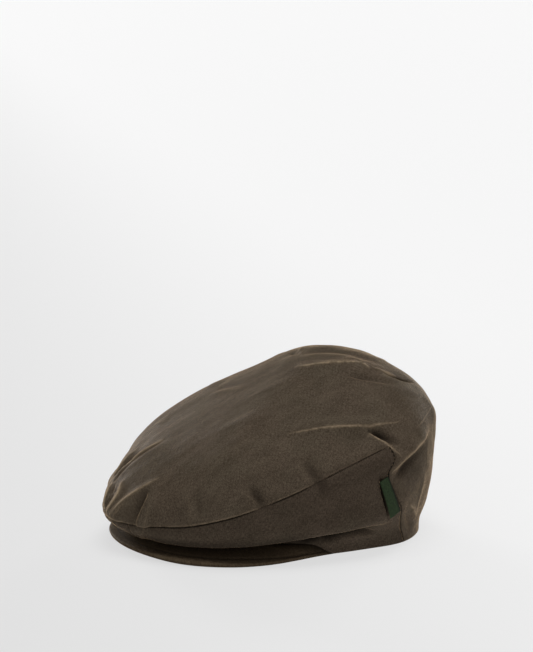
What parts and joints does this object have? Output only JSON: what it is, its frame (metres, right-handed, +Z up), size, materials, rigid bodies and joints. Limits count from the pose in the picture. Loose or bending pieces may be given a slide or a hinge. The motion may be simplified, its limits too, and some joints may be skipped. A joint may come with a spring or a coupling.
{
  "type": "flat cap",
  "caption": "Soft waxed cotton flat cap with a stitched peak, sewn side panels and a small bare tab in the left side seam, lying open side down.",
  "frame": {"origin": "middle of the cap's outline seen from above, on the surface it lies on", "axes": "+X to the wearer's left, +Y to the back of the head, away from the peak, +Z up"},
  "size_m": [0.228, 0.2674, 0.1402],
  "materials": {
    "crown_cotton": "waxed cotton, dark olive",
    "side_cotton": "waxed cotton, dark olive brown",
    "peak_cotton": "waxed cotton over board, dark olive brown",
    "tab_tape": "woven tape, dark green"
  },
  "bodies": {
    "root": {"crown_top": "crown_cotton", "side_panel_left": "side_cotton", "side_panel_right": "side_cotton", "peak": "peak_cotton", "seam_tab": "tab_tape"}
  },
  "joints": []
}
